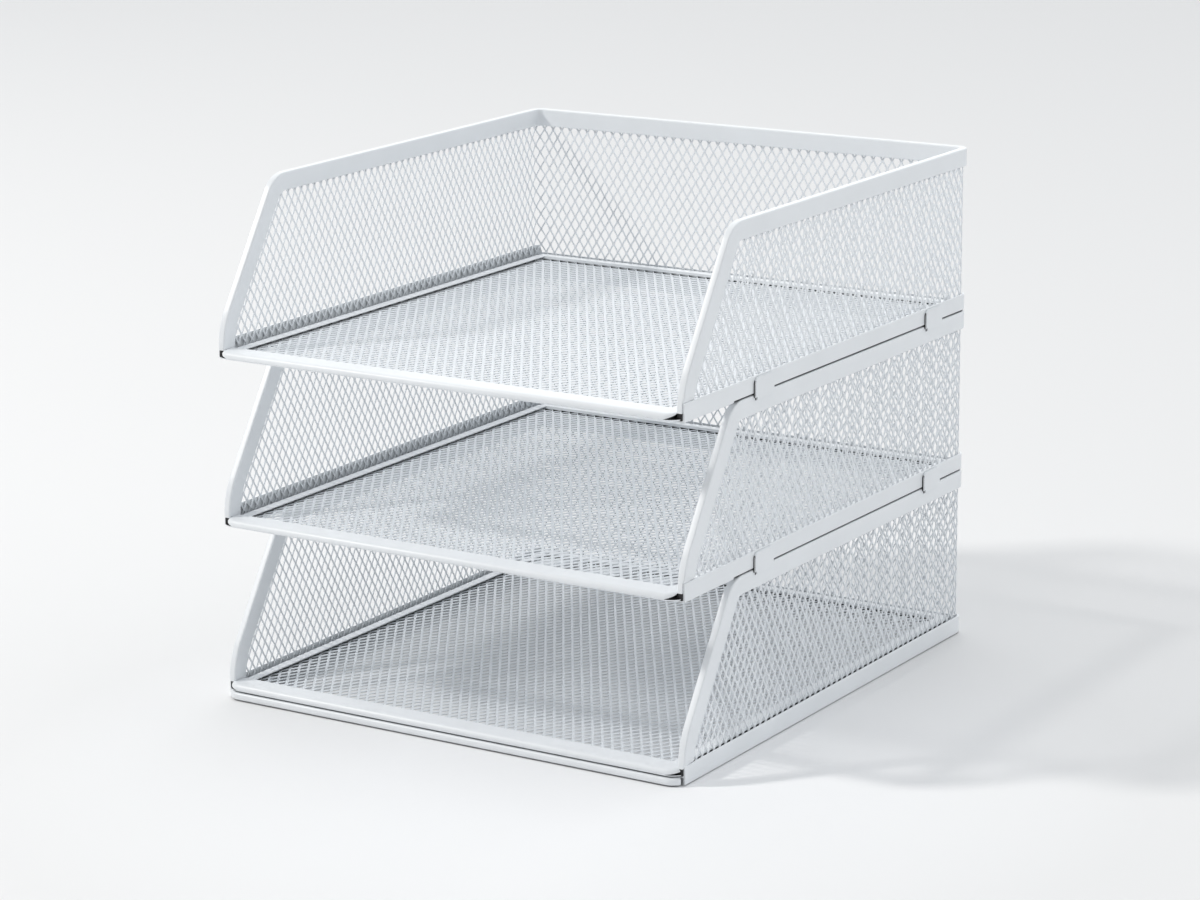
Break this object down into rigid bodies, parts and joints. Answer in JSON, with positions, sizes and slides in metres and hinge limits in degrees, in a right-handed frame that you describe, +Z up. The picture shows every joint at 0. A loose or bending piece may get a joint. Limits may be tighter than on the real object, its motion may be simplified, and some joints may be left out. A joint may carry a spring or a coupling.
{
  "type": "tiered letter tray",
  "caption": "Stacking desk trays for loose sheets, with expanded-metal walls and floors in folded rims, a slanted open front and side tabs that keep each tray on the one below",
  "frame": {"origin": "middle of the footprint, on the surface that the lowest tray stands on", "axes": "+Z up, +Y from the open front to the back, +X to the right as seen from the front"},
  "size_m": [0.292, 0.32, 0.2819],
  "materials": {
    "coated_mesh": "white satin powder coat on expanded steel sheet",
    "coated_sheet": "white satin powder coat on folded steel sheet"
  },
  "bodies": {
    "bottom_tray": {"bottom_left_wall": "coated_mesh", "bottom_right_wall": "coated_mesh", "bottom_back_wall": "coated_mesh", "bottom_left_rim": "coated_sheet", "bottom_right_rim": "coated_sheet", "bottom_back_rim": "coated_sheet", "bottom_left_band": "coated_sheet", "bottom_right_band": "coated_sheet", "bottom_back_band": "coated_sheet", "bottom_floor_mesh": "coated_mesh", "bottom_left_hem": "coated_sheet", "bottom_right_hem": "coated_sheet", "bottom_back_hem": "coated_sheet", "bottom_front_lip": "coated_sheet", "bottom_left_front_tab": "coated_sheet", "bottom_right_front_tab": "coated_sheet", "bottom_left_rear_tab": "coated_sheet", "bottom_right_rear_tab": "coated_sheet", "bottom_front_bar": "coated_sheet"},
    "middle_tray": {"middle_left_wall": "coated_mesh", "middle_right_wall": "coated_mesh", "middle_back_wall": "coated_mesh", "middle_left_rim": "coated_sheet", "middle_right_rim": "coated_sheet", "middle_back_rim": "coated_sheet", "middle_left_band": "coated_sheet", "middle_right_band": "coated_sheet", "middle_back_band": "coated_sheet", "middle_floor_mesh": "coated_mesh", "middle_left_hem": "coated_sheet", "middle_right_hem": "coated_sheet", "middle_back_hem": "coated_sheet", "middle_front_lip": "coated_sheet", "middle_left_front_tab": "coated_sheet", "middle_right_front_tab": "coated_sheet", "middle_left_rear_tab": "coated_sheet", "middle_right_rear_tab": "coated_sheet"},
    "top_tray": {"top_left_wall": "coated_mesh", "top_right_wall": "coated_mesh", "top_back_wall": "coated_mesh", "top_left_rim": "coated_sheet", "top_right_rim": "coated_sheet", "top_back_rim": "coated_sheet", "top_left_band": "coated_sheet", "top_right_band": "coated_sheet", "top_back_band": "coated_sheet", "top_floor_mesh": "coated_mesh", "top_left_hem": "coated_sheet", "top_right_hem": "coated_sheet", "top_back_hem": "coated_sheet", "top_front_lip": "coated_sheet"}
  },
  "joints": [
    {"name": "middle_lift", "type": "slide", "parent": "bottom_tray", "child": "middle_tray", "axis": [0, 0, 1], "range_m": [0, 0.06]},
    {"name": "top_lift", "type": "slide", "parent": "middle_tray", "child": "top_tray", "axis": [0, 0, 1], "range_m": [0, 0.06]}
  ]
}
